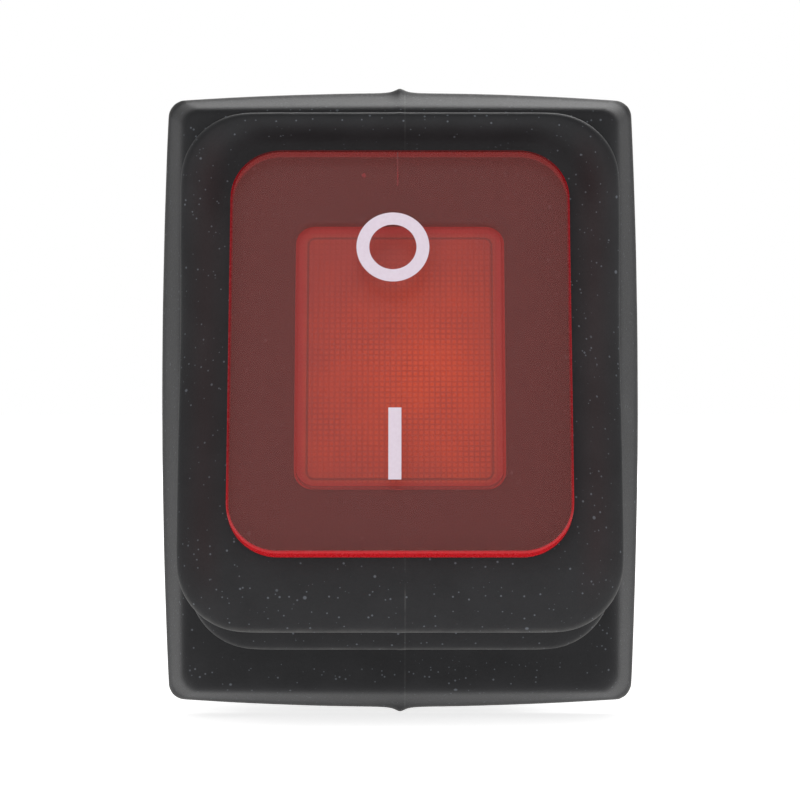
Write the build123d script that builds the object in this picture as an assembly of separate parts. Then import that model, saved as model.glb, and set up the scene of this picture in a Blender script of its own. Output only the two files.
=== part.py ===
"""A sealed, lamp-lit double-pole rocker switch that snaps into a panel.

The frame's origin is the centre of the panel cut-out, on the panel's front face. X runs across the
width, -Y points out of the panel towards the user, +Y runs into the panel and +Z is up. The rocker
is drawn level, as if half way through its stroke, and is then turned to its rest position, with the
O end pressed in.
"""

from math import cos, pi, radians, sin, tan
import os

from build123d import *

# The stroke: the rocker tilts this far each side of level, and the contact blades go from open to closed.
ROCKER_TILT = 16.5
BLADE_OPEN = 12.0
BLADE_CLOSED = -6.0

# The moulded housing: the box that passes through the panel, and its walls.
BODY_WIDTH = 21.5
BODY_HEIGHT = 25.4
BODY_DEPTH = 13.4
BODY_CORNER = 0.6
SIDE_WALL = 1.55
END_WALL = 1.3
REAR_WALL = 1.6
FLANGE_DEPTH = 3.6
SEPTUM = 1.0
SEPTUM_FRONT = 5.6
PAD_SIZE = 0.75
PAD_RISE = 0.3
PAD_FRONT = 0.35
PAD_HEIGHTS = (2.9, 12.0)
FIELD_RECESS = 0.12
FIELD_MARGIN = 1.5
OVERLAP = 0.3

# The barrier walls behind the housing, which keep the wires of the four tabs apart.
SPINE_THICKNESS = 1.2
SPINE_LENGTH = 9.1
SPINE_TOP = 12.6
SPINE_BOTTOM = -12.2
SPINE_CHAMFER = 1.0
RIB_WIDTH = 18.0
RIB_LENGTH = 9.8
RIB_TOP = -5.8
RIB_THICKNESS = 1.1
RIB_CHAMFER = 1.5
RIDGE_LENGTH = 3.2
RIDGE_TOP = -2.7
RIDGE_THICKNESS = 0.8
TONGUE_WIDTH = 6.0
TONGUE_LENGTH = 5.6

# The rubber boot: its skirt round the housing's flange, its sealing lip and its bellows.
SEAL_REACH_X = 3.5
SEAL_REACH_Z = 5.8
SKIRT_DEPTH = 5.1
SKIRT_DRAFT = 0.95
SKIRT_CORNER = 1.2
SKIRT_EDGE = 0.6
SKIRT_WALL = 0.9
LIP_THICKNESS = 0.6
CREST_INSET_X = 1.45
CREST_INSET_Z = 2.9
CREST_CORNER = 4.0
REAR_CREST = 7.0
VALLEY = 8.1
FRONT_CREST = 9.6
FOLD_REACH = 2.4
FOLD_CORNER = 2.6
RUBBER = 0.75
CREST_RUBBER = 1.6
ROOT_SHARE = 0.1
REAR_FOLD = 0.25
FRONT_FOLD = 0.6
BOOT_SLACK = 0.1
CORNER_RUNS = 3

# The clear red plate that the finger presses, and its pad through the window in the rubber.
CAP_OVERHANG_X = 1.3
CAP_OVERHANG_Z = 3.4
CAP_DROP = 0.4
CAP_THICKNESS = 1.15
CAP_CORNER = 3.0
CAP_BEVEL = 0.15
CAP_FRONT = 12.2
CAP_PAD = 0.8
COLLAR_REACH_X = 2.6
COLLAR_REACH_Z = 0.8
COLLAR_TUCK = 2.0
WINDOW_CORNER = 1.2

# The rocker that turns in the housing, with the lamp's chamber in its middle.
ROCKER_SIDE_GAP = 0.4
ROCKER_END_GAP = 2.4
ROCKER_REAR = 1.2
ROCKER_CHAMFER = 0.8
ROCKER_FACE = 1.6
COLLAR_THICKNESS = 1.25
PIVOT_RADIUS = 1.4
PIVOT_RECESS = 0.2
RUNNING_GAP = 0.08
CHAMBER_WIDTH = 7.0
CHAMBER_HEIGHT = 14.0
RIB = 1.1
ROCKER_WALL = 0.9
POCKET_ROOM = 0.5

# The two poles, the plungers that work them and their springs.
POLE_SPACING = 11.0
TUBE_RADIUS = 1.9
TUBE_LENGTH = 3.6
PLUNGER_RADIUS = 1.15
PLUNGER_GAP = 0.05
NOSE_RADIUS = 0.95
PLUNGER_LENGTH = 6.3
NOSE_GAP = 0.2
SPRING_ROOM = 3.4
SPRING_WIRE = 0.15
SPRING_TURNS = 4
COIL_RUNS = 6
NOSE_RUNS = 3
STUB_RADIUS = 0.5
STUB_LENGTH = 0.9

# The see-saw contact blades and the terminals they join.
BLADE_WIDTH = 4.5
BLADE_THICKNESS = 0.5
BLADE_PIVOT = 8.55
BLADE_LENGTH = 7.6
BLADE_CORNER = 0.6
HEEL_HALF = 0.5
TROUGH_REACH = 3.2
TROUGH_SLOPE = 16.0
TROUGH_ROUND = 3.0
RIVET_RADIUS = 1.25
RIVET_HEIGHT = 0.6
RIVET_DOME = 4.0
CONTACT_HEIGHT = 6.6
TAIL_SHARE = 0.5
UPSET_SHARE = 0.75
UPSET_HEIGHT = 0.25
TAB_WIDTH = 6.3
TAB_THICKNESS = 0.8
TAB_LENGTH = 9.2
TAB_HOLE_RADIUS = 0.9
TAB_HOLE_FROM_END = 3.9
TAB_CORNER = 1.0
TAB_BEVEL = 0.28
SHOULDER_WIDTH = 7.3
SHOULDER_THICKNESS = 1.1
SHOULDER_LENGTH = 1.8
ROW_INSET = 1.1
KNIFE_ROOT = 1.6
KNIFE_DEPTH = 0.5
EAR_GAP = 0.1
ARM_FRONT = 4.4
ARM_TOP = -5.4
EAR_REACH = 1.4
HAIR_GAP = 0.03

# The snap-in latches, for a cut-out 30 mm tall.
LATCH_WIDTH = 10.7
LATCH_THICKNESS = 0.95
LATCH_START = 0.3
LATCH_ROOT = 10.9
KNEE_DEPTH = 7.5
KNEE_RISE = 2.4
NECK_DEPTH = 3.4
NECK_RISE = 2.9
BARB_DEPTH = 2.1
BARB_RISE = 3.75
TOOTH_PITCH = 0.45
TOOTH_STEP = 0.28
TOOTH_START_RISE = 2.35
TEETH = 4
GUSSET_RISE = 2.2
GUSSET_TOP = 2.3
GUSSET_FOOT = 3.5
GUSSET_THICKNESS = 0.9

# The lamp in the rocker.
LAMP_RADIUS = 2.0
LAMP_GLASS = 0.4
LAMP_DEPTH = 6.4
LAMP_BOTTOM = -4.2
LAMP_DOME = 0.7
LAMP_PINCH = 0.6
LAMP_SHOULDER = 3.2
LAMP_TOP = 5.0
LEAD_RADIUS = 0.22
WIRE_SIDES = 6
LEAD_SPREAD = 0.7
LEAD_LOOP = 0.9
LEAD_SIDE = 2.9
LEAD_BEHIND = 1.5
ELECTRODE_RADIUS = 0.42
ELECTRODE_LENGTH = 5.0
RESISTOR_RADIUS = 0.9
RESISTOR_HALF = 2.8
RESISTOR_END = 1.2
RESISTOR_WAIST = 0.85
RESISTOR_DEPTH = 2.9
DISC_RADIUS = 0.76
DISC_END = 0.2
LAMP_SPRING_X = 2.3
LAMP_SPRING_RADIUS = 0.58
LAMP_SPRING_TURNS = 5
LAMP_SPRING_Z = -6.2
LAMP_SPRING_DROP = 0.7
SPRING_CLEARANCE = 0.12
SHELF_FRONT = 4.3
SHELF_REAR = 2.5
SHELF_TOP = -5.1
SHELF_BOTTOM = -7.2

CAP_REAR = CAP_FRONT - CAP_THICKNESS
COLLAR_FRONT = CAP_REAR - HAIR_GAP
ROCKER_FRONT = CAP_REAR - COLLAR_THICKNESS
FLANGE_FRONT = LIP_THICKNESS + FLANGE_DEPTH
POLE_X = POLE_SPACING / 2
TAB_END = BODY_DEPTH + TAB_LENGTH
ROCKER_WIDTH = BODY_WIDTH - 2 * SIDE_WALL - 2 * ROCKER_SIDE_GAP
ROCKER_HEIGHT = BODY_HEIGHT - 2 * END_WALL - 2 * ROCKER_END_GAP
CAP_WIDTH = ROCKER_WIDTH + 2 * CAP_OVERHANG_X
CAP_HEIGHT = ROCKER_HEIGHT + 2 * CAP_OVERHANG_Z
WINDOW_WIDTH = ROCKER_WIDTH - 2 * COLLAR_REACH_X
WINDOW_HEIGHT = ROCKER_HEIGHT - 2 * COLLAR_REACH_Z
SKIRT_WIDTH = BODY_WIDTH + 2 * SEAL_REACH_X
SKIRT_HEIGHT = BODY_HEIGHT + 2 * SEAL_REACH_Z
LOAD_ROW = ROW_INSET + END_WALL - BODY_HEIGHT / 2
PIVOT_REACH = BODY_WIDTH / 2 - PIVOT_RECESS
CREST_WIDTH = SKIRT_WIDTH - 2 * CREST_INSET_X
CREST_HEIGHT = SKIRT_HEIGHT - 2 * CREST_INSET_Z
NOSE_CENTRE = BLADE_PIVOT - BLADE_THICKNESS - NOSE_GAP - NOSE_RADIUS
PLUNGER_REAR = NOSE_CENTRE - PLUNGER_LENGTH
CAVITY_REAR = BODY_DEPTH - REAR_WALL


def across(depth):
    """The plane across the switch at this depth, with +X to the right and +Z up."""
    return Plane(origin=(0, depth, 0), x_dir=(1, 0, 0), z_dir=(0, -1, 0))


def slab(width, height, corner, front, rear):
    """A block with rounded corners between two depths, centred on the switch's axis."""
    outline = RectangleRounded(width, height, corner) if corner else Rectangle(width, height)
    return extrude(across(front) * outline, amount=rear - front, dir=(0, 1, 0))


def block(left, right, front, rear, bottom, top):
    """A plain block between six faces."""
    size = (right - left, rear - front, top - bottom)
    middle = ((left + right) / 2, (front + rear) / 2, (bottom + top) / 2)
    return Pos(*middle) * Box(*size)


def bar(radius, x, z, front, rear):
    """A round bar along the depth."""
    return Pos(x, (front + rear) / 2, z) * Rot(90, 0, 0) * Cylinder(radius, rear - front)


def side_profile(points, width):
    """A solid with an outline given as depth and height points, centred on X."""
    return extrude(make_face(Plane.YZ * Polyline(*points, close=True)), width / 2, both=True)


def both_ends(shape):
    """A feature at the top end and its mirror image at the bottom."""
    return shape + mirror(shape, about=Plane.XY)


def both_sides(shape):
    """A feature on the right and its mirror image on the left."""
    return shape + mirror(shape, about=Plane.YZ)


def at_rest(shape):
    """Turns a piece of the rocker from level to its rest position, with O pressed in."""
    return Rot(-ROCKER_TILT, 0, 0) * shape


def wire_along(points, radius):
    """Wire along straight runs, mitred where they meet."""
    path = Polyline(*points)
    section = Plane(origin=path @ 0, z_dir=path % 0) * RegularPolygon(radius, WIRE_SIDES)
    return sweep(section, path=path, transition=Transition.RIGHT)


def coil(radius, wire, length, turns):
    """A compression spring along +Z from the origin, wound in short runs, with open ends."""
    points = []
    for step in range(COIL_RUNS * turns + 1):
        turn = 2 * pi * step / COIL_RUNS
        points.append((radius * cos(turn), radius * sin(turn), length * step / (COIL_RUNS * turns)))
    return wire_along(points, wire)


def soft_outline(half_width, half_height, corner):
    """A rectangle whose corners are rounded by a few short runs."""
    quarter = []
    for step in range(CORNER_RUNS + 1):
        turn = radians(90 * step / CORNER_RUNS)
        quarter.append((half_width - corner + corner * cos(turn), half_height - corner + corner * sin(turn)))
    left = [(-x, z) for x, z in reversed(quarter)]
    below = [(x, -z) for x, z in reversed(quarter + left)]
    return make_face(Polyline(*quarter, *left, *below, close=True))


def skirt_half(depth):
    """The half width and half height of the skirt's outside, this far in front of the panel."""
    inset = SKIRT_DRAFT * depth / SKIRT_DEPTH
    return SKIRT_WIDTH / 2 - inset, SKIRT_HEIGHT / 2 - 0.7 * inset


def flange():
    """The housing's flange in front of the panel, which carries the boot's skirt."""
    sections = []
    for depth in (LIP_THICKNESS, FLANGE_FRONT):
        half_width, half_height = skirt_half(depth)
        room = SKIRT_WALL + BOOT_SLACK
        outline = soft_outline(half_width - room, half_height - room, SKIRT_CORNER)
        sections.append(across(-depth) * outline)
    return loft(sections, ruled=True)


def latch():
    """The top snap-in arm: it springs from the housing's rear edge and ends in teeth and a barb."""
    top = BODY_HEIGHT / 2
    sunk = top - OVERLAP
    knee = top + KNEE_RISE
    neck = top + NECK_RISE
    teeth_rise = top + TOOTH_START_RISE
    points = [(BODY_DEPTH, sunk), (BODY_DEPTH, top), (KNEE_DEPTH, knee), (NECK_DEPTH, neck)]
    points.append((BARB_DEPTH, top + BARB_RISE))
    for tooth in reversed(range(TEETH)):
        y = LATCH_START + TOOTH_PITCH * tooth
        z = teeth_rise + TOOTH_STEP * tooth
        points += [(y + TOOTH_PITCH, z + TOOTH_STEP / 2), (y, z)]
    points += [(LATCH_START, teeth_rise - LATCH_THICKNESS), (NECK_DEPTH, neck - LATCH_THICKNESS)]
    points += [(KNEE_DEPTH, knee - LATCH_THICKNESS), (LATCH_ROOT, top), (LATCH_ROOT, sunk)]
    arm = side_profile(points, LATCH_WIDTH)
    brace = [(0, sunk), (0, top + GUSSET_RISE), (GUSSET_TOP, top + GUSSET_RISE)]
    brace += [(GUSSET_FOOT, top), (GUSSET_FOOT, sunk)]
    gusset = side_profile(brace, GUSSET_THICKNESS)
    return arm + both_sides(Pos(LATCH_WIDTH / 2 + GUSSET_THICKNESS, 0, 0) * gusset)


def rear_barriers():
    """The walls behind the housing that keep the wires of the four tabs apart."""
    front = BODY_DEPTH - OVERLAP
    half = SPINE_THICKNESS / 2
    spine = block(-half, half, front, BODY_DEPTH + SPINE_LENGTH, SPINE_BOTTOM, SPINE_TOP)
    spine = chamfer(spine.edges().filter_by(Axis.X).group_by(Axis.Y)[-1], SPINE_CHAMFER)
    half = RIB_WIDTH / 2
    rib = block(-half, half, front, BODY_DEPTH + RIB_LENGTH, RIB_TOP - RIB_THICKNESS, RIB_TOP)
    rib = chamfer(rib.edges().filter_by(Axis.Z).group_by(Axis.Y)[-1], RIB_CHAMFER)
    ridge = block(-half, half, front, BODY_DEPTH + RIDGE_LENGTH, RIDGE_TOP - RIDGE_THICKNESS, RIDGE_TOP)
    half = TONGUE_WIDTH / 2
    step = RIDGE_THICKNESS / 4
    tongue = block(-half, half, front, BODY_DEPTH + TONGUE_LENGTH, RIDGE_TOP - 3 * step, RIDGE_TOP - step)
    return spine + rib + ridge + tongue


def housing():
    shell = slab(BODY_WIDTH, BODY_HEIGHT, BODY_CORNER, -LIP_THICKNESS - OVERLAP, BODY_DEPTH) + flange()
    shell += both_ends(latch()) + rear_barriers()
    inner_width = BODY_WIDTH - 2 * SIDE_WALL
    inner_height = BODY_HEIGHT - 2 * END_WALL
    shell -= slab(inner_width, inner_height, BODY_CORNER, -FLANGE_FRONT - 1, CAVITY_REAR)
    wall_half = inner_height / 2 + OVERLAP
    shell += block(-SEPTUM / 2, SEPTUM / 2, SEPTUM_FRONT, BODY_DEPTH, -wall_half, wall_half)
    side = BODY_WIDTH / 2
    for height in PAD_HEIGHTS:
        low = height - PAD_SIZE / 2
        pad = block(side - OVERLAP, side + PAD_RISE, PAD_FRONT, PAD_FRONT + PAD_SIZE, low, low + PAD_SIZE)
        shell += both_ends(both_sides(pad))
    edge = BODY_HEIGHT / 2 - FIELD_MARGIN
    field = block(side - FIELD_RECESS, side + 1, FIELD_MARGIN, BODY_DEPTH - FIELD_MARGIN, -edge, edge)
    shell -= both_sides(field)
    shell -= Rot(0, 90, 0) * Cylinder(PIVOT_RADIUS + RUNNING_GAP, 2 * BODY_WIDTH)
    slot_half = TAB_WIDTH / 2 + HAIR_GAP
    for z in (0, LOAD_ROW):
        high = TAB_THICKNESS / 2 + HAIR_GAP
        left, right = POLE_X - slot_half, POLE_X + slot_half
        shell -= both_sides(block(left, right, CAVITY_REAR - 1, BODY_DEPTH + 1, z - high, z + high))
    return shell


def boot_rings(inner):
    """The boot's rings, outside or inside: depth, half width, half height, corner, share of the tilt."""
    rear = skirt_half(0)
    front = skirt_half(SKIRT_DEPTH)
    crest = (CREST_WIDTH / 2, CREST_HEIGHT / 2)
    valley = (crest[0] - FOLD_REACH, crest[1] - FOLD_REACH - SKIRT_EDGE)
    drop = valley[1] * sin(radians(ROCKER_TILT * ROOT_SHARE))
    tight = SKIRT_CORNER
    if inner:
        wall = SKIRT_WALL
        ledge = FLANGE_FRONT + BOOT_SLACK
        inside = skirt_half(ledge)
        low = (valley[0] - RUBBER, valley[1] - RUBBER)
        high = (crest[0] - CREST_RUBBER, crest[1] - CREST_RUBBER)
        neck = ROCKER_FRONT + HAIR_GAP
        return [
            (LIP_THICKNESS, rear[0] - wall - BOOT_SLACK, rear[1] - wall - BOOT_SLACK, tight, 0),
            (ledge, inside[0] - wall, inside[1] - wall, tight, 0),
            (ledge + drop, low[0], low[1], FOLD_CORNER - RUBBER, ROOT_SHARE),
            (REAR_CREST, high[0], high[1], FOLD_CORNER, REAR_FOLD),
            (VALLEY, low[0], low[1], FOLD_CORNER - RUBBER, FRONT_FOLD),
            (FRONT_CREST, high[0], high[1], FOLD_CORNER, FRONT_FOLD),
            (neck, ROCKER_WIDTH / 2 + 2 * BOOT_SLACK, ROCKER_HEIGHT / 2 + 2 * BOOT_SLACK, RUBBER, 1),
        ]
    shoulder = CAP_CORNER + OVERLAP
    tuck = (CAP_WIDTH / 2 - COLLAR_TUCK, CAP_HEIGHT / 2 - COLLAR_TUCK)
    return [
        (0, rear[0], rear[1], tight, 0),
        (SKIRT_DEPTH - SKIRT_EDGE, front[0] + BOOT_SLACK, front[1] + BOOT_SLACK, tight, 0),
        (SKIRT_DEPTH, front[0] - SKIRT_EDGE, front[1] - SKIRT_EDGE, tight, 0),
        (SKIRT_DEPTH + drop, valley[0], valley[1], FOLD_CORNER, ROOT_SHARE),
        (REAR_CREST, crest[0] - BOOT_SLACK, crest[1] + BOOT_SLACK, CREST_CORNER, REAR_FOLD),
        (VALLEY, valley[0], valley[1], FOLD_CORNER, FRONT_FOLD),
        (FRONT_CREST, crest[0] + BOOT_SLACK, crest[1] - BOOT_SLACK, CREST_CORNER, FRONT_FOLD),
        (CAP_REAR - OVERLAP, CAP_WIDTH / 2 + OVERLAP, CAP_HEIGHT / 2 + OVERLAP, shoulder, 1),
        (COLLAR_FRONT, tuck[0], tuck[1], tight, 1),
    ]


def boot():
    def stack(rings):
        sections = []
        for depth, half_width, half_height, corner, share in rings:
            outline = across(-depth) * soft_outline(half_width, half_height, corner)
            sections.append(Rot(-ROCKER_TILT * share, 0, 0) * outline)
        return loft(sections, ruled=True)

    rubber = stack(boot_rings(False)) - stack(boot_rings(True))
    room = 2 * BOOT_SLACK
    rubber -= slab(BODY_WIDTH + room, BODY_HEIGHT + room, BODY_CORNER, -LIP_THICKNESS - 1, 1)
    window = slab(WINDOW_WIDTH, WINDOW_HEIGHT, WINDOW_CORNER, -CAP_FRONT, -ROCKER_FRONT + 1)
    return rubber - at_rest(Pos(0, 0, -CAP_DROP) * window)


def window_pad(front, rear):
    """A block that fills the window with a little slack, between two depths."""
    fit = 2 * BOOT_SLACK
    pad = slab(WINDOW_WIDTH - fit, WINDOW_HEIGHT - fit, WINDOW_CORNER - BOOT_SLACK, front, rear)
    return Pos(0, 0, -CAP_DROP) * pad


def rocker_cap():
    """The plate with its pad behind, which fills the window and is welded to the rocker's face."""
    plate = slab(CAP_WIDTH, CAP_HEIGHT, CAP_CORNER, -CAP_FRONT, -CAP_REAR)
    plate = chamfer(plate.edges().group_by(Axis.Y)[0], CAP_BEVEL)
    return at_rest(Pos(0, 0, -CAP_DROP) * plate + window_pad(-CAP_REAR, -CAP_REAR + CAP_PAD))


def rocker_body():
    base = slab(ROCKER_WIDTH, ROCKER_HEIGHT, ROCKER_CHAMFER, -ROCKER_FRONT, ROCKER_REAR)
    base = chamfer(base.edges().filter_by(Axis.X).group_by(Axis.Y)[-1], ROCKER_CHAMFER)
    face = -CAP_REAR + CAP_PAD + HAIR_GAP
    base += window_pad(face, -ROCKER_FRONT)
    floor = face + ROCKER_FACE
    base += Rot(0, 90, 0) * Cylinder(PIVOT_RADIUS, 2 * PIVOT_REACH)
    base += both_sides(bar(TUBE_RADIUS, POLE_X, 0, ROCKER_REAR - POCKET_ROOM, ROCKER_REAR + TUBE_LENGTH))
    base -= slab(CHAMBER_WIDTH, CHAMBER_HEIGHT, POCKET_ROOM, floor, ROCKER_REAR + 1)
    left = CHAMBER_WIDTH / 2 + RIB
    right = ROCKER_WIDTH / 2 - ROCKER_WALL
    low = TUBE_RADIUS + POCKET_ROOM
    pocket = block(left, right, floor + POCKET_ROOM, ROCKER_REAR + 1, low, ROCKER_HEIGHT / 2 - RIB)
    base -= both_ends(both_sides(pocket))
    shelf_half = CHAMBER_WIDTH / 2 + OVERLAP
    base += block(-shelf_half, shelf_half, -SHELF_FRONT, -SHELF_REAR, SHELF_BOTTOM, SHELF_TOP)
    lead_hole = LEAD_RADIUS + HAIR_GAP
    base -= both_sides(bar(lead_hole, LAMP_SPRING_X, LAMP_SPRING_Z, -SHELF_FRONT - 1, -SHELF_REAR + 1))
    bore_end = ROCKER_REAR + TUBE_LENGTH
    bore_start = PLUNGER_REAR - SPRING_ROOM - EAR_GAP
    base -= both_sides(bar(PLUNGER_RADIUS + PLUNGER_GAP, POLE_X, 0, bore_start, bore_end + 1))
    return at_rest(base)


def lamp_glass():
    """The neon lamp's envelope: a domed tube, pinched solid at the top round its two wires."""
    end = LAMP_RADIUS - LAMP_DOME
    outside = [(0, LAMP_BOTTOM), (end, LAMP_BOTTOM), (LAMP_RADIUS, LAMP_BOTTOM + LAMP_DOME)]
    outside += [(LAMP_RADIUS, LAMP_SHOULDER), (LAMP_RADIUS * LAMP_PINCH, LAMP_TOP), (0, LAMP_TOP)]
    glass = revolve(make_face(Plane.XZ * Polyline(*outside, close=True)), Axis.Z)
    low, high = LAMP_BOTTOM + LAMP_GLASS + LAMP_DOME / 2, LAMP_SHOULDER - LAMP_GLASS
    glass -= Pos(0, 0, (low + high) / 2) * Cylinder(LAMP_RADIUS - LAMP_GLASS, high - low)
    for x in (-LEAD_SPREAD, LEAD_SPREAD):
        glass -= Pos(x, 0, LAMP_TOP) * Cylinder(LEAD_RADIUS + HAIR_GAP, 6)
    return at_rest(Pos(0, -LAMP_DEPTH, 0) * glass)


def seat_disc(side):
    """The flattened end of a lead, on which a lamp spring presses."""
    return bar(DISC_RADIUS, side * LAMP_SPRING_X, LAMP_SPRING_Z, -SHELF_REAR + HAIR_GAP, -SHELF_REAR + DISC_END)


def lamp_electrode(side, route):
    """One electrode of the lamp, with its lead out through the pinch and on along a route."""
    x = side * LEAD_SPREAD
    over = LAMP_TOP + LEAD_LOOP
    rod = Pos(x, -LAMP_DEPTH, 0) * Cylinder(ELECTRODE_RADIUS, ELECTRODE_LENGTH)
    start = ELECTRODE_LENGTH / 2 - HAIR_GAP
    lead = wire_along([(x, -LAMP_DEPTH, start), (x, -LAMP_DEPTH, over), *route(over)], LEAD_RADIUS)
    return rod + lead


def lamp_electrode_left():
    """The left electrode: its lead comes down beside the lamp to the left spring."""
    behind = -LAMP_DEPTH + LEAD_BEHIND

    def route(over):
        return [
            (-LEAD_SIDE, behind, over),
            (-LEAD_SIDE, behind, LAMP_SPRING_Z + LEAD_LOOP),
            (-LAMP_SPRING_X, behind, LAMP_SPRING_Z),
            (-LAMP_SPRING_X, -SHELF_REAR + DISC_END / 2, LAMP_SPRING_Z),
        ]

    return at_rest(lamp_electrode(-1, route) + seat_disc(-1))


def lamp_electrode_right():
    """The right electrode: its lead goes over to the top of the resistor."""

    def route(over):
        return [
            (LAMP_SPRING_X, -RESISTOR_DEPTH, over),
            (LAMP_SPRING_X, -RESISTOR_DEPTH, RESISTOR_HALF + HAIR_GAP),
        ]

    return at_rest(lamp_electrode(1, route))


def lamp_resistor():
    """The series resistor, with its lower lead bent back to the right spring."""
    x = LAMP_SPRING_X
    body = Pos(x, -RESISTOR_DEPTH, 0) * Cylinder(RESISTOR_RADIUS * RESISTOR_WAIST, 2 * RESISTOR_HALF)
    for z in (-1, 1):
        swell = Pos(x, -RESISTOR_DEPTH, z * (RESISTOR_HALF - RESISTOR_END / 2))
        body += swell * Cylinder(RESISTOR_RADIUS, RESISTOR_END)
    front = -SHELF_FRONT - LEAD_LOOP
    route = [
        (x, -RESISTOR_DEPTH, -RESISTOR_HALF + OVERLAP),
        (x, -RESISTOR_DEPTH, -RESISTOR_HALF - LEAD_LOOP),
        (x, front, SHELF_TOP + OVERLAP),
        (x, front, LAMP_SPRING_Z),
        (x, -SHELF_REAR + DISC_END / 2, LAMP_SPRING_Z),
    ]
    return at_rest(body + wire_along(route, LEAD_RADIUS) + seat_disc(1))


def lamp_spring(side):
    """A weak spring from a lead's disc to the load terminal's ear, at its length with O pressed."""
    room = SPRING_WIRE + SPRING_CLEARANCE
    seat_spot = Pos(side * LAMP_SPRING_X, -SHELF_REAR + DISC_END + room, LAMP_SPRING_Z)
    seat = at_rest(seat_spot * Vertex(0, 0, 0)).center()
    foot = Vector(side * LAMP_SPRING_X, ARM_FRONT - room, LAMP_SPRING_Z - LAMP_SPRING_DROP)
    run = foot - seat
    spring = coil(LAMP_SPRING_RADIUS, SPRING_WIRE, run.length, LAMP_SPRING_TURNS)
    return Plane(origin=seat, x_dir=(1, 0, 0), z_dir=run) * spring


def plunger():
    """The right plunger: a sliding pin with a tapered round nose and a stub that holds its spring."""
    shaft = bar(PLUNGER_RADIUS, POLE_X, 0, PLUNGER_REAR, NOSE_CENTRE - NOSE_RADIUS)
    profile = [(0, NOSE_CENTRE)]
    for step in range(NOSE_RUNS + 1):
        turn = radians(90 * step / NOSE_RUNS)
        profile.append((NOSE_RADIUS * cos(turn), NOSE_CENTRE + NOSE_RADIUS * sin(turn)))
    nose = Pos(POLE_X, 0, 0) * revolve(make_face(Polyline(*profile, close=True)), Axis.Y)
    neck = bar(NOSE_RADIUS, POLE_X, 0, NOSE_CENTRE - NOSE_RADIUS - HAIR_GAP, NOSE_CENTRE)
    stub = bar(STUB_RADIUS, POLE_X, 0, PLUNGER_REAR - STUB_LENGTH, PLUNGER_REAR + HAIR_GAP)
    return shaft + nose + neck + stub


def plunger_spring():
    """The right plunger's spring, between the bore's end and the plunger."""
    start = PLUNGER_REAR - SPRING_ROOM + SPRING_WIRE
    length = SPRING_ROOM - 2 * SPRING_WIRE - HAIR_GAP
    spring = coil(PLUNGER_RADIUS - 2 * SPRING_WIRE, SPRING_WIRE, length, SPRING_TURNS)
    return Plane(origin=(POLE_X, start, 0), x_dir=(1, 0, 0), z_dir=(0, 1, 0)) * spring


def blade_wing():
    """The depth of the front face of the blade's flat wings, with the blade level."""
    slope = radians(TROUGH_SLOPE)
    rise = TROUGH_ROUND * (1 - cos(slope)) + (TROUGH_REACH - TROUGH_ROUND * sin(slope)) * tan(slope)
    return BLADE_PIVOT - BLADE_THICKNESS - rise


def contact_blade():
    """The right see-saw blade, level: spring-hard strip, bent to a trough that the nose runs through."""
    apex = BLADE_PIVOT - BLADE_THICKNESS
    slope = radians(TROUGH_SLOPE)
    bend = TROUGH_ROUND * sin(slope)
    sag = TROUGH_ROUND * (1 - cos(slope))
    wing = blade_wing()
    down = Polyline((wing, -BLADE_LENGTH), (wing, -TROUGH_REACH), (apex - sag, -bend))
    trough = ThreePointArc((apex - sag, -bend), (apex, 0), (apex - sag, bend))
    up = Polyline((apex - sag, bend), (wing, TROUGH_REACH), (wing, BLADE_LENGTH))
    rear = Polyline(
        (wing, BLADE_LENGTH),
        (wing + BLADE_THICKNESS, BLADE_LENGTH),
        (wing + BLADE_THICKNESS, TROUGH_REACH + HAIR_GAP),
        (BLADE_PIVOT, HEEL_HALF),
        (BLADE_PIVOT, -HEEL_HALF),
        (wing + BLADE_THICKNESS, -TROUGH_REACH - HAIR_GAP),
        (wing + BLADE_THICKNESS, -BLADE_LENGTH),
        (wing, -BLADE_LENGTH),
    )
    strip = extrude(make_face(Plane.YZ * (down + trough + up + rear)), BLADE_WIDTH / 2, both=True)
    strip = fillet(strip.edges().filter_by(Axis.Y), BLADE_CORNER)
    hole = bar(RIVET_RADIUS * TAIL_SHARE + HAIR_GAP, 0, -CONTACT_HEIGHT, wing - 1, wing + 1)
    return Pos(POLE_X, 0, 0) * (strip - hole)


def moving_contact():
    """The right blade's contact rivet: a domed head in front, its tail headed over behind."""
    wing = blade_wing()
    head = bar(RIVET_RADIUS, POLE_X, -CONTACT_HEIGHT, wing - RIVET_HEIGHT, wing)
    head = head & (Pos(POLE_X, wing - RIVET_HEIGHT + RIVET_DOME, -CONTACT_HEIGHT) * Sphere(RIVET_DOME))
    tail_end = wing + BLADE_THICKNESS
    upset = tail_end + UPSET_HEIGHT
    tail = bar(RIVET_RADIUS * TAIL_SHARE, POLE_X, -CONTACT_HEIGHT, wing - HAIR_GAP, tail_end + HAIR_GAP)
    tail += bar(RIVET_RADIUS * UPSET_SHARE, POLE_X, -CONTACT_HEIGHT, tail_end + HAIR_GAP / 3, upset)
    return head + tail


def open_blade(shape):
    """Turns a piece of the see-saw from level to its rest position, with the contact open."""
    return Pos(0, BLADE_PIVOT, 0) * Rot(BLADE_OPEN, 0, 0) * Pos(0, -BLADE_PIVOT, 0) * shape


def fixed_contact_face():
    """The depth of the fixed contact's face: where the closed blade's dome reaches, less a hair."""
    turn = radians(BLADE_CLOSED)
    depth = blade_wing() - RIVET_HEIGHT + RIVET_DOME - BLADE_PIVOT
    dome = BLADE_PIVOT + depth * cos(turn) + CONTACT_HEIGHT * sin(turn)
    height = depth * sin(turn) - CONTACT_HEIGHT * cos(turn)
    return dome - RIVET_DOME - HAIR_GAP, height


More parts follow.
